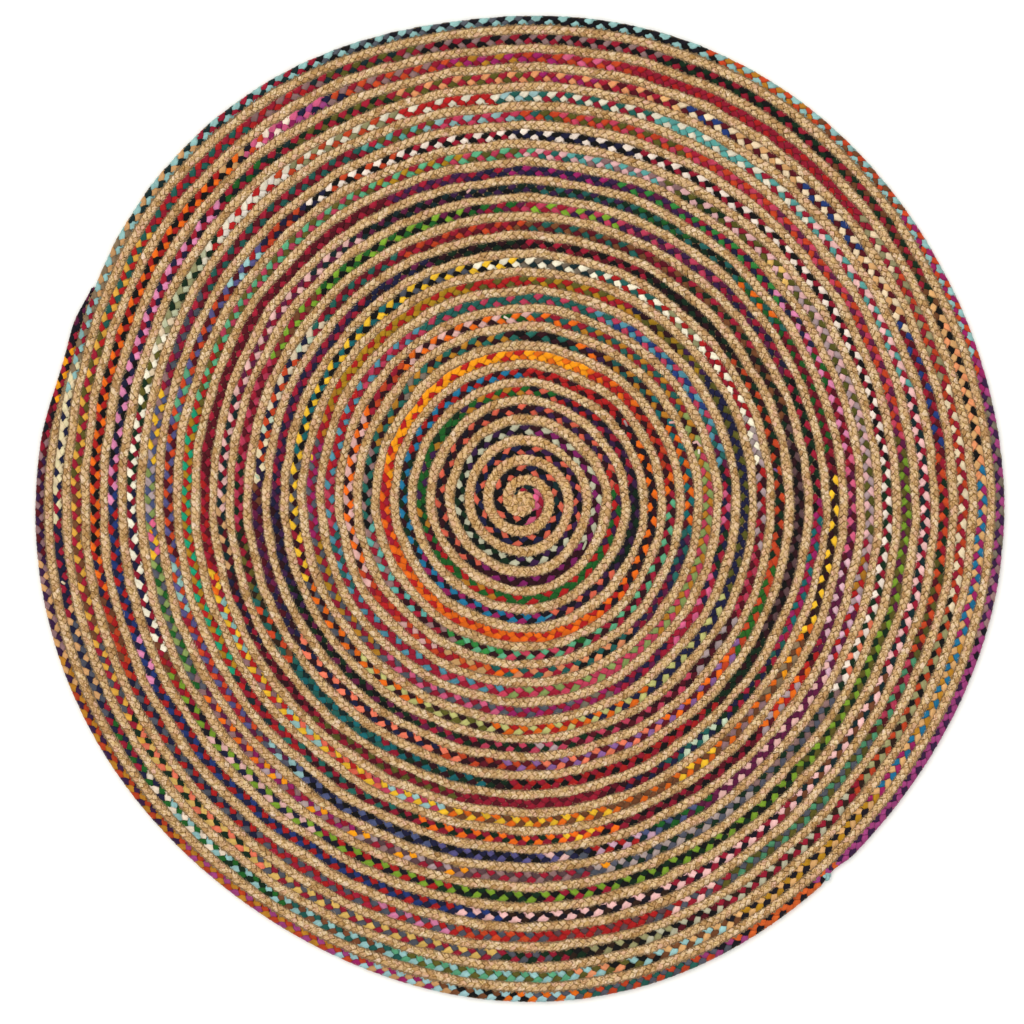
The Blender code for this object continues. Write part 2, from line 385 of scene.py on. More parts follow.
# How strips of one dye differ, least and most: all over, and in each of red, green and blue
STRIP_LIGHTNESS = (0.88, 1.14)
STRIP_TINT = (0.95, 1.05)
UPPER_PART_LIGHTNESS = 0.04  # deviation between the places where a strip shows

# Shades that the jute's strands take in turn, as sRGB, and how likely each is
JUTE_SHADES = (
    ((203, 168, 122), 6),
    ((209, 176, 132), 5),
    ((193, 155, 108), 4),
    ((214, 186, 146), 2),
    ((204, 162, 126), 2),
    ((176, 136, 86), 2),
)
JUTE_CORE_SHADE = (200, 156, 96)  # of the first turns, which are browner
JUTE_CORE_TURNS = 4.5
JUTE_CORE_SHARE = 0.5

# Strands differ in bulk, least and most, and strips of some dyes are of thicker or thinner cloth
RAG_BULK = (0.88, 1.10)
JUTE_BULK = (0.80, 1.14)
BULKY_DYES = ("aqua", "cream", "pale_pink", "pink", "white")
BULKY_SHARE = 1.06
SLIM_DYES = ("coral", "pale_sage")
SLIM_SHARE = 0.86

# Ends of strips that stick out of the rag's rows: (turn, across, heading_deg, length, dye), across
# from -1 at the inner edge to 1 at the outer one, the heading from the row's way outwards
TAILS = (
    (3.352, 0.3, 8, 0.016, "pale_sage"),
    (5.466, 0.2, 20, 0.014, "sky"),
    (6.147, 0.5, -12, 0.012, "lilac"),
    (8.173, 0.8, 65, 0.011, "pale_pink"),
    (8.985, 0.2, -35, 0.011, "white"),
    (9.198, 0.0, 95, 0.012, "pale_pink"),
    (9.200, 0.4, 25, 0.015, "pale_pink"),
    (9.207, 0.0, -20, 0.010, "white"),
    (10.782, 0.7, 10, 0.011, "yellow"),
    (13.231, -0.3, 40, 0.009, "lavender"),
    (13.764, 0.5, 50, 0.010, "pale_mint"),
    (15.972, 0.6, 35, 0.009, "pale_pink"),
    (16.712, 0.4, -5, 0.013, "yellow"),
    (19.737, 0.3, 25, 0.010, "amber"),
    (19.783, 0.2, -30, 0.009, "yellow"),
    (24.722, 0.3, 45, 0.010, "cream"),
)
TAIL_HALF = (0.0019, 0.0008)  # half width and half thickness
TAIL_RISE = (0.0062, 0.0040)  # height of its ends, and how far its middle stands above them
TAIL_CREST_POWER = 0.8  # below 1 the highest place lies nearer to its start
TAIL_RINGS = 9
# The knot at the join of the rim's two lengths, a trefoil of one strip
KNOT_SPOT = (0.4722, -0.5654, 0.0062)
KNOT_SIZE = 0.00145
KNOT_HALF = (0.0032, 0.0016)
KNOT_DYE = "aqua"
KNOT_TURNS = 0.97  # of the trefoil, which stays open a little
KNOT_RINGS = 40

# Sewing thread over the edges of the rows, in slanted ticks
THREAD_COLOUR = (0.52, 0.36, 0.19)
TICK_SPACING = 0.0030
TICK_SLANT = 1.3  # how far a tick leans, in spacings, from the plait's middle line to its edge
TICK_HALF = (0.09, 0.16)  # half width of a tick, in spacings: of its full part, and in all
TICK_STRENGTH = 0.6
TICK_STARTS = (0.66, 0.98)  # how far out ticks start, least and most, 1 being the plait's edge

# Dark and light colours of the sewn ground: in the seams, its thread and fibre darkened with painted
# shade, and in the middle of the rug, and how far from the middle the latter begin to fade and where
# they end
SHADED_SEAM_COLOURS = ((0.09, 0.055, 0.028), (0.42, 0.27, 0.13))
CORE_SHADES = ((0.20, 0.12, 0.05), (0.55, 0.37, 0.18))
CORE_REACH = (0.022, 0.030)

# The map that materials are baked to: the width of a strand's face on it against its height, the
# space between rows of faces, and the size of a tube's end
BAKE_ASPECT = 0.7
BAKE_MARGIN = 0.06
BAKE_END = 0.0002

# ---------------------------------------------------------------- the photograph's view

VIEW_WIDTH = 1.5754  # what the frame spans on the floor
VIEW_MIDDLE = (-0.0121, -0.0049)
LENS_MM = 135.0
SENSOR_MM = 36.0
KEY_COLOUR = (1.0, 0.98, 0.93)
KEY_TILT_DEG = (-32.0, -34.0, 0.0)
KEY_SIZE_DEG = 50.0
FILL_COLOUR = (1.0, 0.99, 0.95)
FILL_STRENGTH = 1.06
FLOOR_COLOUR = (0.92, 0.92, 0.915, 1.0)
FLOOR_REACH = 8.0
CLOTH_TONE = (0.83, 0.75, 0.63)  # the dyes as they lie in this light, against those listed
JUTE_TONE = (1.07, 1.07, 1.13)


def smooth_step(share):
    share = np.clip(share, 0.0, 1.0)
    return share * share * (3.0 - 2.0 * share)


def spiral_radius(turn, lane):
    """Radius at an angle, given in turns, of the line that lies a number of pitches out."""
    radius = RADIUS_AT_TURN_0 + PAIR_PITCH * lane
    radius = radius + SWELL * np.cos(2.0 * np.pi * (lane - SWELL_CREST_TURN) / SWELL_TURNS)
    settled = smooth_step(lane / SETTLING_TURNS)
    reach = np.maximum(0.0, lane / RIM_TURNS)
    for crests, lift, crest_deg, growth in UNEVENNESS:
        angle = crests * (2.0 * np.pi * turn - math.radians(crest_deg))
        radius = radius + lift * settled * reach**growth * np.cos(angle)
    for middle, depth, half_length in DENTS:
        away = (turn - middle + 0.5) % 1.0 - 0.5
        radius = radius - depth * reach**DENT_GROWTH * np.exp(-((away / half_length) ** 2))
    return radius + np.interp(lane, *zip(*LANE_SHIFTS)) + wander(turn, lane, radius)


def wander(turn, lane, radius):
    """How far a line of the spiral strays outwards, the same for all rows that meet in a place."""
    x, y = placed(turn, radius)
    random = np.random.default_rng(WANDER_SEED)
    stray = 0.0
    for waves, shortest, longest, drift in WANDER:
        for _ in range(waves):
            length = random.uniform(shortest, longest)
            heading, start = random.uniform(0.0, 2.0 * math.pi, 2)
            way = x * math.cos(heading) + y * math.sin(heading)
            wave = np.cos(2.0 * np.pi * way / length + start)
            stray = stray + drift * math.sqrt(2.0 / waves) * wave
    first, settled, fading, last = WANDER_LANES
    setting_in = smooth_step((lane - first) / (settled - first))
    return stray * setting_in * (1.0 - smooth_step((lane - fading) / (last - fading)))


def drawn_in(turn):
    """How far the rag has moved in past the end of the jute, from 0 to 1."""
    return smooth_step((turn - DRAW_IN_START) / DRAW_IN_LENGTH)


def half_width(turn, lane):
    width = spiral_radius(turn, lane + HALF_ROW) - spiral_radius(turn, lane - HALF_ROW)
    slope = np.arctan2(PAIR_PITCH, 2.0 * np.pi * spiral_radius(turn, lane))
    return (width - SEAM_GAP) / 2.0 * np.cos(slope)


def placed(turn, radius, around=(0.0, 0.0)):
    angle = 2.0 * np.pi * turn
    return around[0] + radius * np.sin(angle), around[1] + radius * np.cos(angle)


def curl_route(rows, around=(0.0, 0.0)):
    """Columns x, y, half width and turn for a curl's table."""
    turn, radius, share = np.array(rows).T
    full = PAIR_PITCH * HALF_ROW - SEAM_GAP / 2.0
    return np.stack([*placed(turn, radius, around), full * share, turn], axis=1)


def thinned(turn, lane, share):
    """Columns x, y, half width and turn of a plait thinned by a share, its inner edge kept."""
    radius = spiral_radius(turn, lane - HALF_ROW * (1.0 - share))
    return np.stack([*placed(turn, radius), half_width(turn, lane) * share, turn], axis=1)


def turns_between(first, last):
    return np.linspace(first, last, math.ceil((last - first) * ROUTE_STEPS_A_TURN) + 1)


def jute_route():
    turn = turns_between(JUTE_SPIRAL_START, JUTE_END)
    spiral = thinned(turn, turn, 1.0 - JUTE_RETREAT * drawn_in(turn + 1.0))
    spiral[:, 2] = np.maximum(spiral[:, 2], 0.0)
    return np.concatenate([curl_route(JUTE_TUCK + JUTE_CURL, CURL_MIDDLE), spiral])


def rag_lane(turn):
    """The lane of the rag at a turn, and the share of its width that it has there."""
    to_end = smooth_step((RAG_END - turn) / TAPER_LENGTH)
    to_join = smooth_step(np.abs(JOIN_TURN - turn) / JOIN_LENGTH)
    share = END_SHARE + (1.0 - END_SHARE) * to_end
    share = share * (JOIN_SHARE + (1.0 - JOIN_SHARE) * to_join)
    return turn - ROW - ROW * drawn_in(turn), share


def rag_route(first, last):
    turn = turns_between(first, last)
    return thinned(turn, *rag_lane(turn))


def smooth_line(rows, step):
    """The rows again at even steps along the line, on a cubic through the given ones."""
    legs = np.linalg.norm(np.diff(rows[:, :2], axis=0), axis=1)
    along = np.concatenate([[0.0], np.cumsum(legs)])
    slope = np.gradient(rows, along, axis=0)
    at = np.arange(0.0, along[-1], step)
    row = np.clip(np.searchsorted(along, at, side="right") - 1, 0, len(legs) - 1)
    leg = legs[row][:, None]
    t = (at - along[row])[:, None] / leg
    line = rows[row] * (1 + 2 * t) * (1 - t) ** 2 + rows[row + 1] * t * t * (3 - 2 * t)
    line += leg * (slope[row] * t * (1 - t) ** 2 + slope[row + 1] * t * t * (t - 1))
    return line


class Plait:
    """A plait's middle line in fine steps, with its phase: a whole number at each full cycle."""

    def __init__(self, rows, shift, cycles, reach, strand, seed):
        self.strand, self.seed = strand, seed
        line = smooth_line(rows, FINE_STEP)
        self.x, self.y = line[:, 0] - shift[0], line[:, 1] - shift[1]
        self.half, self.turn = np.maximum(line[:, 2], THINNEST_HALF), line[:, 3]
        self.along = FINE_STEP * np.arange(len(line))
        heading = np.arctan2(np.gradient(self.y), np.gradient(self.x))
        self.out_x, self.out_y = -np.sin(heading), np.cos(heading)
        random = np.random.default_rng(seed)
        knots = np.arange(0.0, self.along[-1] + UNEVEN_LENGTH, UNEVEN_LENGTH)
        uneven = np.interp(self.along, knots, random.normal(0.0, CYCLE_UNEVENNESS, len(knots)))
        length = np.interp(self.turn, *zip(*cycles)) * np.exp(uneven)
        self.reach = np.interp(self.turn, *zip(*reach))
        self.phase = np.cumsum(FINE_STEP / length)

    def at(self, phase, *names):
        """The plait's columns of these names at a phase."""
        return [np.interp(phase, self.phase, getattr(self, name)) for name in names]


def linear(srgb):
    share = np.asarray(srgb, float) / 255.0
    return np.where(share <= 0.04045, share / 12.92, ((share + 0.055) / 1.055) ** 2.4)


# ---------------------------------------------------------------- the strands' colours


def rag_strips():
    """For each strand, the turns at which its strips begin and their dyes."""
    worn = list(RAG_START_DYES)
    strips = [[(-1.0, dye)] for dye in worn]
    for turn, text in enumerate(RAG_TURNS):
        words = text.split()
        for first in range(0, len(words), STRANDS + 1):
            start = turn + float(words[first]) / 360.0
            for strand in range(STRANDS):
                dye = words[first + 1 + strand]
                if dye not in (".", worn[strand]):
                    worn[strand] = dye
                    strips[strand].append((start + STRIP_SPREAD_TURNS * (strand - 1), dye))
    return strips


def rag_colours(strips, turn, random):
    """Linear colour and bulk of one strand's upper parts, each at its turn along the rag."""
    starts = np.array([start for start, _ in strips])
    dyes = np.array([linear(DYES[dye]) for _, dye in strips]) * CLOTH_TONE
    dyes *= random.uniform(*STRIP_LIGHTNESS, (len(dyes), 1)) * random.uniform(*STRIP_TINT, dyes.shape)
    bulk = random.uniform(*RAG_BULK, len(dyes))
    bulk *= np.array([BULKY_SHARE if dye in BULKY_DYES else 1.0 for _, dye in strips])
    bulk *= np.array([SLIM_SHARE if dye in SLIM_DYES else 1.0 for _, dye in strips])
    strip = np.searchsorted(starts, turn, side="right") - 1
    each = random.normal(1.0, UPPER_PART_LIGHTNESS, len(turn))
    return dyes[strip] * each[:, None], bulk[strip]


def jute_colours(turn, random):
    """Linear colour and bulk of one strand's upper parts, each at its turn along the jute."""
    shades = np.array([linear(shade) for shade, _ in JUTE_SHADES])
    weights = np.array([weight for _, weight in JUTE_SHADES], float)
    picks = random.choice(len(shades), len(turn), p=weights / weights.sum())
    core = np.clip(1.0 - turn / JUTE_CORE_TURNS, 0.0, 1.0)[:, None] * JUTE_CORE_SHARE
    colour = (shades[picks] * (1.0 - core) + linear(JUTE_CORE_SHADE) * core) * JUTE_TONE
    bulk = random.uniform(*JUTE_BULK, len(turn))
    return colour, bulk


# ---------------------------------------------------------------- meshes


def strand_samples(strand, first, last):
    """Phases along a plait at which one strand has a section, and across, level and roll there."""
    lead = strand / STRANDS
    halves = np.arange(2 * math.floor(first + lead) - 1, 2 * math.ceil(last + lead) + 2)[:, None]
    degrees, across, level, roll = np.array(HALF_CYCLE, float).T[:, None, :]
    other = halves % 2
    phase = (halves / 2.0 + degrees / 360.0).ravel() - lead
    columns = ((1 - 2 * other) * across, level, np.where(other, -180.0 - roll, roll))
    stance = np.stack([column.ravel() for column in np.broadcast_arrays(*columns)])
    inside = (phase >= first) & (phase <= last)
    return phase[inside], stance[:, inside]


def upper_parts(plait, strand, phase):
    """The number of the upper part that each place of a strand belongs to, and its turns."""
    number = np.floor(2.0 * (phase + strand / STRANDS) + 2.0 * TOP_SHARE).astype(int)
    middles = np.arange(number.min(), number.max() + 1) / 2.0 + TOP_SHARE - strand / STRANDS
    (turns,) = plait.at(middles, "turn")
    return number - number.min(), turns


def strand_rings(plait, phase, stance, bulk, random):
    """The rings of one strand: points (n, SIDES, 3), and how far across the plait each lies."""
    x, y, half, out_x, out_y, most = plait.at(phase, "x", "y", "half", "out_x", "out_y", "reach")
    slant = math.radians(SLANT_DEG)
    across, level, roll = stance
    roll = np.radians(roll)
    full = PAIR_PITCH * HALF_ROW
    height = VISUAL_HEIGHT * np.clip(half / full, THINNED_LEAST, 1.0) ** THINNED_HEIGHT_POWER
    reach = half + OVERLAP
    flat = plait.strand[0] * reach * bulk
    thick = np.minimum(plait.strand[1] * height * bulk, flat)
    wide = np.hypot(flat * math.cos(slant) * np.cos(roll), thick * np.sin(roll))
    tall = np.hypot(flat * math.cos(slant) * np.sin(roll), thick * np.cos(roll))
    wobble = random.normal(0.0, 1.0, (3, len(phase)))
    across = across * reach + STRAND_STRAY[0] * wobble[0] * np.minimum(1.0, half / full)
    limit = most * reach - wide
    across = np.clip(across * most, -limit, limit)
    up = height / 2 + level * np.maximum(height / 2 - tall, 0.0) + STRAND_STRAY[1] * wobble[1]
    roll = roll + np.radians(STRAND_STRAY[2]) * wobble[2]
    turn = 2.0 * np.pi * np.arange(SIDES) / SIDES
    u = flat[:, None] * math.cos(slant) * np.cos(turn)
    v = thick[:, None] * np.sin(turn)
    slanted = plait.strand[2] + (1.0 - plait.strand[2]) * np.cos(roll) ** 2
    back = (flat * slanted)[:, None] * math.sin(slant) * np.cos(turn)
    ring_across = across[:, None] + u * np.cos(roll)[:, None] - v * np.sin(roll)[:, None]
    ring_up = up[:, None] + u * np.sin(roll)[:, None] + v * np.cos(roll)[:, None]
    ring_up = np.maximum(ring_up, FLOOR_CLEARANCE)
    ring_x = x[:, None] + ring_across * out_x[:, None] - back * out_y[:, None]
    ring_y = y[:, None] + ring_across * out_y[:, None] + back * out_x[:, None]
    return np.stack([ring_x, ring_y, ring_up], axis=2), ring_across / reach[:, None]


def tube(points, colour, along, across):
    """A closed tube as arrays: vertices, quads and per-quad-corner data. along is in metres."""
    rings = len(points)
    ring = np.arange(rings - 1)[:, None] * SIDES
    side = np.arange(SIDES)[None, :]
    after = (side + 1) % SIDES
    corners = (ring + side, ring + after, ring + SIDES + after, ring + SIDES + side)
    quads = np.stack(corners, axis=2).reshape(-1, 4)
    low, high = along[:-1, None], along[1:, None]
    low, high, left, right = np.broadcast_arrays(low, high, side / SIDES, (side + 1) / SIDES)
    ways = np.stack([low, low, high, high], axis=2)
    rounds = np.stack([left, right, right, left], axis=2)
    cap = np.arange(SIDES)
    return {
        "points": points.reshape(-1, 3),
        "quads": quads,
        "caps": [cap[::-1], (rings - 1) * SIDES + cap],
        "strand_uv": np.stack([ways, rounds], axis=3).reshape(-1, 2),
        "row_uv": np.stack([ways.ravel(), across.reshape(-1)[quads].ravel()], axis=1),
        "dye": np.repeat(colour[:-1], SIDES * 4, axis=0),
        "rings": rings,
        "end_dye": colour[[0, -1]],
    }


def bake_layout(tubes):
    """Places every tube's faces on one square map, as strips laid side by side in rows."""
    total = sum(t["rings"] - 1 for t in tubes)
    per_row = math.ceil(total / max(1, round(math.sqrt(total * BAKE_ASPECT / SIDES))))
    rows = math.ceil(total / per_row)
    low, span = BAKE_MARGIN / 2, 1.0 - BAKE_MARGIN
    coords = []
    start = 0
    for t in tubes:
        step = start + np.arange(t["rings"] - 1)
        start += t["rings"] - 1
        column = np.repeat(step % per_row, SIDES)
        row = np.repeat(step // per_row, SIDES)
        side = np.tile(np.arange(SIDES), len(step))
        u0, u1 = column / per_row, (column + 1) / per_row
        v0 = (row + low + span * side / SIDES) / rows
        v1 = (row + low + span * (side + 1) / SIDES) / rows
        u = np.stack([u0, u0, u1, u1], axis=1)
        v = np.stack([v0, v1, v1, v0], axis=1)
        coords.append(np.stack([u, v], axis=2).reshape(-1, 2))
    return coords


def linked(name, data):
    """A new object in the scene."""
    thing = bpy.data.objects.new(name, data)
    bpy.context.scene.collection.objects.link(thing)
    return thing


def mesh_of(name, tubes, material):
    """One mesh object from many tubes, with its dyes and its three maps."""
    loops, starts = [], []
    corners = {"dye": [], "strand": [], "row": [], "OFBake": []}
    offset = 0
    cursor = 0
    for t, bake in zip(tubes, bake_layout(tubes)):
        quads = t["quads"] + offset
        loops.append(quads.ravel())
        starts.append(cursor + 4 * np.arange(len(quads)))
        cursor += quads.size
        corners["dye"].append(t["dye"])
        corners["strand"].append(t["strand_uv"])
        corners["row"].append(t["row_uv"])
        corners["OFBake"].append(bake)
        for cap, end in zip(t["caps"], (0, -1)):
            loops.append(cap + offset)
            starts.append([cursor])
            cursor += len(cap)
            corners["dye"].append(np.tile(t["end_dye"][end], (len(cap), 1)))
            corners["strand"].append(np.tile(t["strand_uv"][end], (len(cap), 1)))
            corners["row"].append(np.tile(t["row_uv"][end], (len(cap), 1)))
            angle = 2.0 * np.pi * np.arange(len(cap)) / len(cap)
            small = BAKE_END * np.stack([np.cos(angle), np.sin(angle)], axis=1)
            corners["OFBake"].append(np.clip(bake[end] + small, 0.0, 1.0))
        offset += len(t["points"])
    mesh = bpy.data.meshes.new(name)
    mesh.vertices.add(offset)
    vertices = np.concatenate([t["points"] for t in tubes])
    mesh.vertices.foreach_set("co", vertices.astype(np.float32).ravel())
    mesh.loops.add(cursor)
    mesh.loops.foreach_set("vertex_index", np.concatenate(loops).astype(np.int32))
    starts = np.concatenate(starts).astype(np.int32)
    mesh.polygons.add(len(starts))
    mesh.polygons.foreach_set("loop_start", starts)
    mesh.update(calc_edges=True)
    for uv_name in ("OFBake", "strand", "row"):
        layer = mesh.uv_layers.new(name=uv_name)
        layer.uv.foreach_set("vector", np.concatenate(corners[uv_name]).astype(np.float32).ravel())
    colours = np.concatenate(corners["dye"])
    colours = np.concatenate([colours, np.ones((len(colours), 1))], axis=1)
    attribute = mesh.color_attributes.new("dye", "FLOAT_COLOR", "CORNER")
    attribute.data.foreach_set("color", colours.astype(np.float32).ravel())
    mesh.validate()
    mesh.shade_smooth()
    mesh.materials.append(material)
    return linked(name, mesh)


def plait_tubes(plait, first_turn, last_turn, colours_of):
    """The three strands of a plait between two turns."""
    first, last = np.interp([first_turn, last_turn], plait.turn, plait.phase)
    tubes = []
    for strand in range(STRANDS):
        random = np.random.default_rng(plait.seed + strand)
        every, stance = strand_samples(strand, plait.phase[0], plait.phase[-1])
        number, turns = upper_parts(plait, strand, every)
        colour, bulk = (values[number] for values in colours_of(strand, turns, random))
        points, across = strand_rings(plait, every, stance, bulk, random)
        (along,) = plait.at(every, "along")
        # One ring more at each end, so that neighbouring pieces meet
        inside = np.flatnonzero((every >= first) & (every <= last))
        inside = slice(max(inside[0] - 1, 0), inside[-1] + 1)
        tubes.append(tube(points[inside], colour[inside], along[inside], across[inside]))
    return tubes


def loose_tube(path, half, dye):
    """A tube of a flat strip along free points."""
    way = np.gradient(path, axis=0)
    way /= np.linalg.norm(way, axis=1)[:, None]
    level = np.cross(way, (0.0, 0.0, 1.0))
    level /= np.linalg.norm(level, axis=1)[:, None]
    up = np.cross(level, way)
    turn = 2.0 * np.pi * np.arange(SIDES)[None, :, None] / SIDES
    points = path[:, None] + half[0] * np.cos(turn) * level[:, None]
    points += half[1] * np.sin(turn) * up[:, None]
    colour = np.tile(linear(DYES[dye]) * CLOTH_TONE, (len(path), 1))
    legs = np.linalg.norm(np.diff(path, axis=0), axis=1)
    along = np.concatenate([[0.0], np.cumsum(legs)])
    return tube(points, colour, along, np.zeros((len(path), SIDES)))


def tail_tubes(plait, first_turn, last_turn):
    """The ends of strips that stick out between two turns of the rag."""
    tubes = []
    for turn, across, heading_deg, length, dye in TAILS:
        if not first_turn <= turn < last_turn:
            continue
        phase = np.interp(turn, plait.turn, plait.phase)
        x, y, half, out_x, out_y = plait.at(phase, "x", "y", "half", "out_x", "out_y")
        heading = math.radians(heading_deg)
        onwards, outwards = np.array([out_y, -out_x]), np.array([out_x, out_y])
        ahead = math.cos(heading) * onwards + math.sin(heading) * outwards
        share = np.linspace(0.0, 1.0, TAIL_RINGS)
        spot = np.array([x + across * half * out_x, y + across * half * out_y])
        path = np.empty((len(share), 3))
        path[:, :2] = spot + np.outer((share - 0.5) * length, ahead)
        path[:, 2] = TAIL_RISE[0] + TAIL_RISE[1] * np.sin(np.pi * share**TAIL_CREST_POWER)
        tubes.append(loose_tube(path, TAIL_HALF, dye))
    return tubes


def knot_tube():
    """The knot at the join, along the usual curve of a trefoil."""
    t = np.linspace(0.0, 2.0 * math.pi * KNOT_TURNS, KNOT_RINGS)
    x, y, z = np.sin(t) + 2.0 * np.sin(2.0 * t), np.cos(t) - 2.0 * np.cos(2.0 * t), -np.sin(3.0 * t)
    path = np.array(KNOT_SPOT) + KNOT_SIZE * np.stack([x, y, z], axis=1)
    return loose_tube(path, KNOT_HALF, KNOT_DYE)


# ---------------------------------------------------------------- materials


def new_material(name):
    """A material, its node tree and its shader."""
    material = bpy.data.materials.new(name)
    material.use_nodes = True
    return material, material.node_tree, material.node_tree.nodes["Principled BSDF"]


def add_node(tree, kind, inputs=None, **settings):
    node = tree.nodes.new(kind)
    for key, value in settings.items():
        setattr(node, key, value)
    for key, value in (inputs or {}).items():
        if isinstance(value, bpy.types.NodeSocket):
            tree.links.new(value, node.inputs[key])
        else:
            node.inputs[key].default_value = value
    return node


def maths(tree, operation, a, b=0.5):
    return add_node(tree, "ShaderNodeMath", {0: a, 1: b}, operation=operation).outputs[0]


def ranged(tree, value, low, high, to_low, to_high):
    inputs = {0: value, 1: low, 2: high, 3: to_low, 4: to_high}
    return add_node(tree, "ShaderNodeMapRange", inputs).outputs[0]


def toned(tree, light, value, low, high, to_low, to_high):
    """A light times a value that is brought into a range."""
    return maths(tree, "MULTIPLY", light, ranged(tree, value, low, high, to_low, to_high))


def stretched_map(tree, uv_name, along, across):
    """A map of the strands or rows, with so many units to a metre along and so many across."""
    uv = add_node(tree, "ShaderNodeUVMap", uv_map=uv_name).outputs[0]
    inputs = {"Vector": uv, "Scale": (along, across, 1.0)}
    return add_node(tree, "ShaderNodeMapping", inputs).outputs[0]


def noise(tree, vector, scale, detail, roughness=0.55):
    inputs = {"Vector": vector, "Scale": scale, "Detail": detail, "Roughness": roughness}
    return add_node(tree, "ShaderNodeTexNoise", inputs).outputs["Fac"]


def streaks(tree, uv_name, along, across, detail, roughness=0.55):
    """Noise on a map of the strands or rows."""
    return noise(tree, stretched_map(tree, uv_name, along, across), 1.0, detail, roughness)


def mixed(tree, kind, factor, a, b):
    node = add_node(tree, "ShaderNodeMix", data_type="RGBA", blend_type=kind)
    for key, value in ((0, factor), (6, a), (7, b)):
        if isinstance(value, bpy.types.NodeSocket):
            tree.links.new(value, node.inputs[key])
        elif key == 0:
            node.inputs[key].default_value = value
        else:
            node.inputs[key].default_value = (*value, 1.0)
    return node.outputs[2]


def strand_side(tree):
    """1 along the two sides of a strand's flat section, 0 on its upper and lower face."""
    uv = add_node(tree, "ShaderNodeUVMap", uv_map="strand").outputs[0]
    round_share = add_node(tree, "ShaderNodeSeparateXYZ", {"Vector": uv}).outputs["Y"]
    side = maths(tree, "COSINE", maths(tree, "MULTIPLY", round_share, 2.0 * math.pi))
    return maths(tree, "ABSOLUTE", side)


def row_place(tree):
    """Metres along a plait, and 0 on its middle line to 1 at its two edges."""
    uv = add_node(tree, "ShaderNodeUVMap", uv_map="row").outputs[0]
    spot = add_node(tree, "ShaderNodeSeparateXYZ", {"Vector": uv})
    return spot.outputs["X"], maths(tree, "ABSOLUTE", spot.outputs["Y"])


def thread_ticks(tree):
    """How much sewing thread shows: slanted ticks that reach over a plait's two edges."""
    along, edge = row_place(tree)
    lean = maths(tree, "MULTIPLY", edge, TICK_SLANT)
    slanted = maths(tree, "ADD", maths(tree, "DIVIDE", along, TICK_SPACING), lean)
    stray = streaks(tree, "row", 300.0, 3.0, 1.0)
    phase = maths(tree, "FRACT", maths(tree, "ADD", slanted, stray))
    away = maths(tree, "ABSOLUTE", maths(tree, "SUBTRACT", phase, 0.5))
    tick = ranged(tree, away, *TICK_HALF, TICK_STRENGTH, 0.0)
    start = ranged(tree, streaks(tree, "row", 190.0, 1.0, 1.0), 0.3, 0.7, *TICK_STARTS)
    return maths(tree, "MULTIPLY", tick, maths(tree, "GREATER_THAN", edge, start))


def finished(tree, shader, colour, relief, strength, depth):
    """Gives a shader its colour, and its relief as a bump."""
    tree.links.new(colour, shader.inputs["Base Color"])
    inputs = {"Strength": strength, "Distance": depth, "Height": relief}
    bump = add_node(tree, "ShaderNodeBump", inputs)
    tree.links.new(bump.outputs[0], shader.inputs["Normal"])


def rag_material():
    """Cotton strips: gathered along their length, with painted light on the folds' backs, painted shade
    at the strands' sides and painted light towards the plait's edges, and with the sewing thread's ticks
    at the plait's edges."""
    material, tree, shader = new_material("cotton_rag")
    dye = add_node(tree, "ShaderNodeVertexColor", layer_name="dye").outputs[0]
    folds = streaks(tree, "strand", 90.0, 7.0, 3.0)
    shade = streaks(tree, "strand", 45.0, 1.5, 2.0)
    weave = streaks(tree, "strand", 1400.0, 26.0, 2.0)
    # painted light on the backs of the folds, which the same noise raises as bumps
    light = ranged(tree, folds, 0.3, 0.7, 0.80, 1.16)
    light = toned(tree, light, shade, 0.3, 0.7, 0.86, 1.12)
    light = toned(tree, light, weave, 0.3, 0.7, 0.90, 1.08)
    # painted shade along the two sides of each strand
    light = toned(tree, light, strand_side(tree), 0.7, 1.0, 1.0, 0.80)
    # painted light towards the plait's two edges, lifting the shade that falls there
    light = toned(tree, light, row_place(tree)[1], 0.60, 1.0, 1.0, 1.15)
    brightness = add_node(tree, "ShaderNodeCombineColor", {0: light, 1: light, 2: light})
    colour = mixed(tree, "MULTIPLY", 1.0, dye, brightness.outputs[0])
    colour = mixed(tree, "MIX", thread_ticks(tree), colour, THREAD_COLOUR)
    relief = maths(tree, "ADD", folds, maths(tree, "MULTIPLY", weave, 0.25))
    finished(tree, shader, colour, relief, 0.7, 0.0009)
    shader.inputs["Roughness"].default_value = 0.88
    shader.inputs["Specular IOR Level"].default_value = 0.16
    shader.inputs["Sheen Weight"].default_value = 0.04
    shader.inputs["Sheen Roughness"].default_value = 0.5
    return material


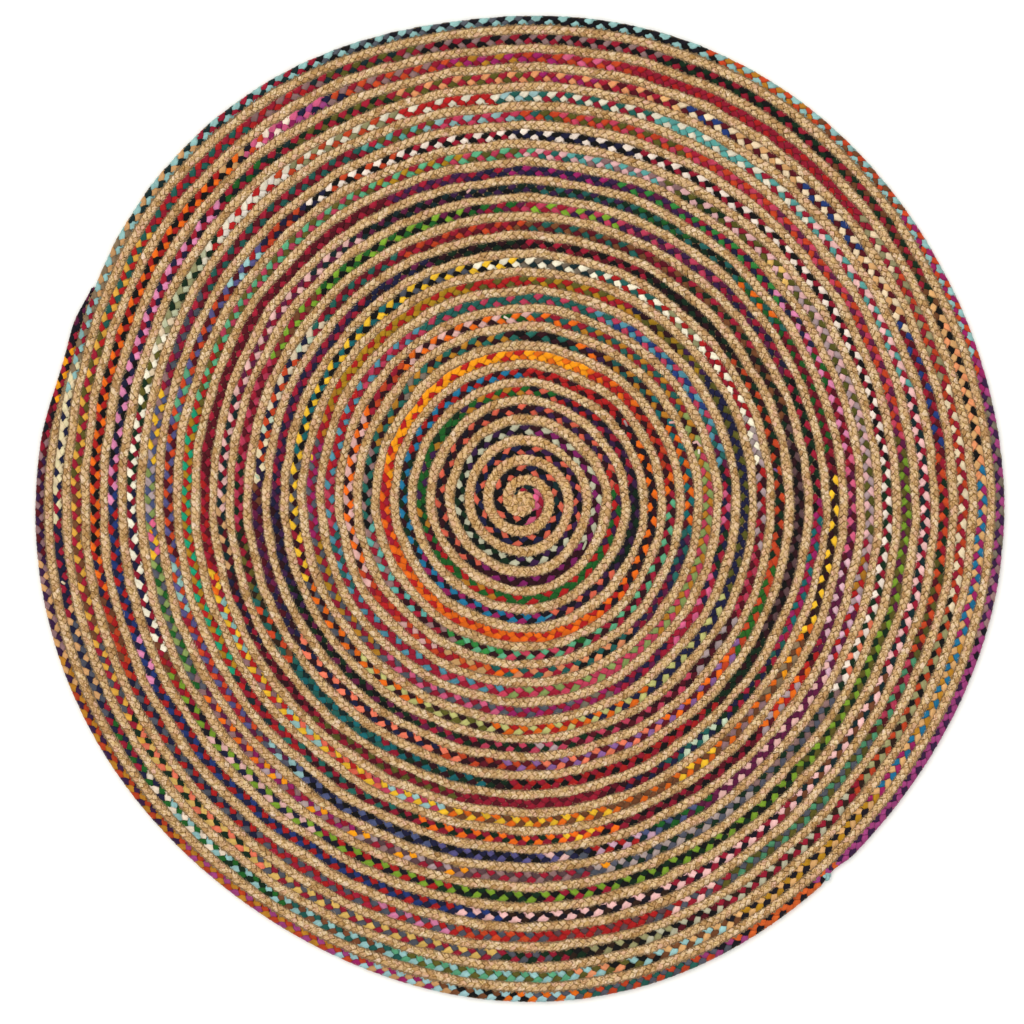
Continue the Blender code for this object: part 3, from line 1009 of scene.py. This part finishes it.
def jute_material():
    """Bundles of raw jute fibre: fine streaks along the strand, painted shade in the notches between its
    yarns and at the strands' sides, and painted light towards the plait's edges, bluer where it is light
    and browner where it is dark."""
    material, tree, shader = new_material("jute_yarn")
    dye = add_node(tree, "ShaderNodeVertexColor", layer_name="dye").outputs[0]
    fibres = streaks(tree, "strand", 120.0, 22.0, 4.0, 0.65)
    bundles = streaks(tree, "strand", 50.0, 9.0, 1.0)
    patches = streaks(tree, "strand", 9.0, 1.0, 2.0)
    cells = {"Vector": stretched_map(tree, "strand", 260.0, 7.0), "Scale": 1.0, "Randomness": 1.0}
    kind = {"feature": "DISTANCE_TO_EDGE", "voronoi_dimensions": "2D"}
    yarns = add_node(tree, "ShaderNodeTexVoronoi", cells, **kind).outputs["Distance"]
    # painted shade in the notches between yarns, where the hollow noise lets it show
    hollow = ranged(tree, streaks(tree, "strand", 170.0, 5.0, 1.0), 0.44, 0.60, 0.0, 1.0)
    painted_notch_shade = toned(tree, hollow, yarns, 0.05, 0.26, 1.0, 0.0)
    light = ranged(tree, fibres, 0.3, 0.7, 0.80, 1.14)
    light = toned(tree, light, bundles, 0.35, 0.65, 0.92, 1.06)
    light = toned(tree, light, patches, 0.3, 0.7, 0.92, 1.06)
    # painted shade along the two sides of each strand
    light = toned(tree, light, strand_side(tree), 0.72, 1.0, 1.04, 0.40)
    light = toned(tree, light, painted_notch_shade, 0.0, 1.0, 1.04, 0.42)
    # painted light towards the plait's two edges, lifting the shade that falls there
    light = toned(tree, light, row_place(tree)[1], 0.50, 1.0, 0.99, 1.32)
    light = maths(tree, "MINIMUM", light, 1.26)
    red = maths(tree, "POWER", light, 0.82)
    tint = streaks(tree, "strand", 90.0, 4.0, 2.0)
    blue = toned(tree, maths(tree, "POWER", light, 1.6), tint, 0.3, 0.7, 0.78, 1.24)
    brightness = add_node(tree, "ShaderNodeCombineColor", {0: red, 1: light, 2: blue})
    colour = mixed(tree, "MULTIPLY", 1.0, dye, brightness.outputs[0])
    relief = maths(tree, "ADD", maths(tree, "MULTIPLY", fibres, 0.6), bundles)
    relief = maths(tree, "ADD", relief, ranged(tree, yarns, 0.0, 0.25, 0.0, 0.8))
    finished(tree, shader, colour, relief, 0.8, 0.0011)
    shader.inputs["Roughness"].default_value = 0.82
    shader.inputs["Specular IOR Level"].default_value = 0.3
    return material


def ground_material():
    """Thread and loose fibre, with painted shade that makes it darker in the seams than in the middle of
    the rug.
    """
    material, tree, shader = new_material("sewing_thread_and_shade")
    spot = add_node(tree, "ShaderNodeTexCoord").outputs["Object"]
    grain = ranged(tree, noise(tree, spot, 900.0, 3.0), 0.34, 0.66, 0.0, 1.0)
    # thread and fibre in the seams, darkened with painted shade
    shaded_seam = mixed(tree, "MIX", grain, *SHADED_SEAM_COLOURS)
    core = mixed(tree, "MIX", grain, *CORE_SHADES)
    away = add_node(tree, "ShaderNodeVectorMath", {0: spot}, operation="LENGTH").outputs["Value"]
    in_core = ranged(tree, away, *CORE_REACH, 1.0, 0.0)
    finished(tree, shader, mixed(tree, "MIX", in_core, shaded_seam, core), grain, 0.8, 0.0010)
    shader.inputs["Roughness"].default_value = 0.95
    return material


# ---------------------------------------------------------------- pieces


def outline_radius(turn):
    """The middle line of the rag's outermost row at an angle."""
    edge = np.zeros_like(turn)
    for whole in LAST_TURNS:
        at = turn + whole
        lane, share = rag_lane(at)
        radius = spiral_radius(at, lane - HALF_ROW * (1.0 - share))
        edge = np.where(at < RAG_END, np.maximum(edge, radius), edge)
    return edge


def sewn_ground(shift, material):
    """The thread and fibre between the strands, as a thin round sheet inside the plaits, dark with
    painted shade where it shows between them.
    """
    turn = np.arange(GROUND_STEPS) / GROUND_STEPS
    x, y = placed(turn, outline_radius(turn))
    rim = np.stack([x - shift[0], y - shift[1]], axis=1)
    count = len(rim)
    vertices = [(*point, level) for level in GROUND_LEVELS for point in rim]
    low = [tuple(range(count))]
    high = [tuple(range(2 * count - 1, count - 1, -1))]
    walls = [(i, i + count, (i + 1) % count + count, (i + 1) % count) for i in range(count)]
    mesh = bpy.data.meshes.new("sewn_ground")
    mesh.from_pydata(vertices, [], low + high + walls)
    mesh.update()
    mesh.materials.append(material)
    return linked("sewn_ground", mesh)


def middle_of(route):
    low = (route[:, :2] - route[:, 2:3]).min(axis=0)
    high = (route[:, :2] + route[:, 2:3]).max(axis=0)
    return (low + high) / 2.0


def add_stage():
    """A pale floor, soft light from the upper left, and the camera straight above."""
    corners = [(x * FLOOR_REACH, y * FLOOR_REACH, 0.0) for x, y in ((-1, -1), (1, -1), (1, 1), (-1, 1))]
    mesh = bpy.data.meshes.new("floor")
    mesh.from_pydata(corners, [], [(0, 1, 2, 3)])
    floor = linked("floor", mesh)
    material, _, shader = new_material("floor")
    shader.inputs["Base Color"].default_value = FLOOR_COLOUR
    shader.inputs["Roughness"].default_value = 0.9
    mesh.materials.append(material)

    sun = bpy.data.lights.new("key", "SUN")
    sun.energy = 1.0
    sun.color = KEY_COLOUR
    sun.angle = math.radians(KEY_SIZE_DEG)
    key = linked("key", sun)
    key.rotation_euler = [math.radians(tilt) for tilt in KEY_TILT_DEG]

    world = bpy.data.worlds.new("studio")
    world.use_nodes = True
    background = world.node_tree.nodes["Background"]
    background.inputs["Color"].default_value = (*FILL_COLOUR, 1.0)
    background.inputs["Strength"].default_value = FILL_STRENGTH
    bpy.context.scene.world = world

    lens = bpy.data.cameras.new("camera")
    lens.sensor_width = SENSOR_MM
    lens.lens = LENS_MM
    lens.clip_end = 100.0
    camera = linked("camera", lens)
    distance = VIEW_WIDTH / 2.0 / (SENSOR_MM / 2.0 / LENS_MM)
    camera.location = (*VIEW_MIDDLE, PLAIT_HEIGHT + distance)
    bpy.context.scene.camera = camera
    bpy.context.scene.view_settings.view_transform = "Standard"


def main():
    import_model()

    rag_main = np.concatenate([curl_route(RAG_CURL), rag_route(RAG_SPIRAL_START, JOIN_TURN + JOIN_TUCK)])
    rag_rim = rag_route(JOIN_TURN - JOIN_TUCK, RAG_END)
    shift = middle_of(np.concatenate([rag_main, rag_rim]))
    rag = Plait(rag_main, shift, RAG_CYCLES, RAG_REACH, RAG_STRAND, RAG_SEED)
    rim = Plait(rag_rim, shift, RAG_CYCLES, RAG_REACH, RAG_STRAND, RIM_SEED)
    jute = Plait(jute_route(), shift, JUTE_CYCLES, JUTE_REACH, JUTE_STRAND, JUTE_SEED)

    strips = rag_strips()

    def rag_dyes(strand, turns, random):
        return rag_colours(strips[strand], turns, random)

    def jute_dyes(strand, turns, random):
        return jute_colours(turns, random)

    cotton = rag_material()
    fibre = jute_material()
    pieces = []
    for label, first, last in RAG_PARTS:
        tubes = plait_tubes(rag, first, last, rag_dyes) + tail_tubes(rag, first, last)
        piece = mesh_of(f"rag_plait_{label}", tubes, cotton)
        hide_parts("rag_braid")
        pieces.append(piece)
    tubes = plait_tubes(rim, *RIM_PART, rag_dyes) + [knot_tube()]
    piece = mesh_of("rag_plait_rim", tubes, cotton)
    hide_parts("rag_braid_rim")
    pieces.append(piece)
    for label, first, last in JUTE_PARTS:
        tubes = plait_tubes(jute, first, last, jute_dyes)
        piece = mesh_of(f"jute_plait_{label}", tubes, fibre)
        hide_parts("jute_braid")
        pieces.append(piece)

    ground = sewn_ground(shift, ground_material())
    for piece in [*pieces, ground]:
        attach(piece, "root")

    add_stage()


main()
